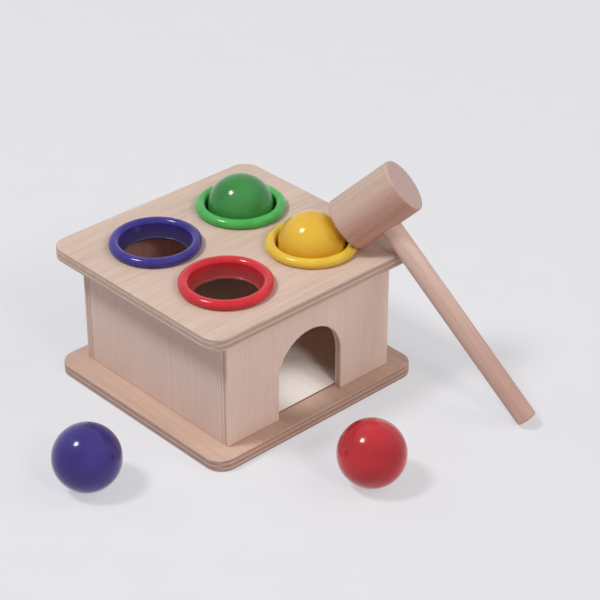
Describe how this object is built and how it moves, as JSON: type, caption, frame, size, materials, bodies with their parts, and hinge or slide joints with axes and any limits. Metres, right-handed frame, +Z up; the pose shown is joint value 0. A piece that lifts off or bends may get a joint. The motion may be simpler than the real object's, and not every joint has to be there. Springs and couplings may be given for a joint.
{
  "type": "ball pounding bench",
  "caption": "Toy bench: a wooden box with flexible collars in its top that hold balls until a mallet pounds them through onto a ramp, and they roll out of an arched doorway.",
  "frame": {"origin": "on the ground under the middle of the box, on the base board's underside", "axes": "+Z up, -Y out of the arched front wall, +X along the front wall to the side where the mallet leans"},
  "size_m": [0.2005, 0.193, 0.1134],
  "materials": {
    "plywood": "clear satin lacquer on plywood",
    "ramp_plywood": "pale satin plywood",
    "hidden_wood": "bare sawn wood",
    "beech": "turned and sanded wood, clear satin lacquer",
    "screw_steel": "zinc-plated",
    "blue_plastic": "glossy, slightly flexible",
    "green_plastic": "glossy, slightly flexible",
    "yellow_plastic": "glossy, slightly flexible",
    "red_plastic": "glossy, slightly flexible",
    "blue_lacquer": "gloss lacquer on a turned wooden ball",
    "green_lacquer": "gloss lacquer on a turned wooden ball",
    "yellow_lacquer": "gloss lacquer on a turned wooden ball",
    "red_lacquer": "gloss lacquer on a turned wooden ball"
  },
  "bodies": {
    "bench": {"base_board": "plywood", "top_board": "plywood", "front_wall": "plywood", "back_wall": "plywood", "left_wall": "plywood", "right_wall": "plywood", "ramp_board": "ramp_plywood", "left_ramp_cleat": "hidden_wood", "right_ramp_cleat": "hidden_wood", "front_left_block": "hidden_wood", "front_left_dowel": "hidden_wood", "front_left_screw": "screw_steel", "front_right_block": "hidden_wood", "front_right_dowel": "hidden_wood", "front_right_screw": "screw_steel", "back_left_block": "hidden_wood", "back_left_dowel": "hidden_wood", "back_left_screw": "screw_steel", "back_right_block": "hidden_wood", "back_right_dowel": "hidden_wood", "back_right_screw": "screw_steel", "blue_collar": "blue_plastic", "green_collar": "green_plastic", "yellow_collar": "yellow_plastic", "red_collar": "red_plastic"},
    "blue_ball": {"blue_ball": "blue_lacquer"},
    "green_ball": {"green_ball": "green_lacquer"},
    "yellow_ball": {"yellow_ball": "yellow_lacquer"},
    "red_ball": {"red_ball": "red_lacquer"},
    "hammer": {"hammer_head": "beech", "hammer_handle": "beech"}
  },
  "joints": [
    {"name": "green_ball_pound", "type": "slide", "parent": "bench", "child": "green_ball", "axis": [0, 0, 1], "range_m": [-0.0372, 0.03], "deforming": ["green_collar"]},
    {"name": "yellow_ball_pound", "type": "slide", "parent": "bench", "child": "yellow_ball", "axis": [0, 0, 1], "range_m": [-0.0443, 0], "deforming": ["yellow_collar"]},
    {"name": "blue_ball_lift", "type": "slide", "parent": "bench", "child": "blue_ball", "axis": [0, 0, 1], "range_m": [0, 0.03]},
    {"name": "red_ball_lift", "type": "slide", "parent": "bench", "child": "red_ball", "axis": [0, 0, 1], "range_m": [0, 0.03]},
    {"name": "hammer_lift", "type": "slide", "parent": "bench", "child": "hammer", "axis": [0, 0, 1], "range_m": [0, 0.05]}
  ]
}
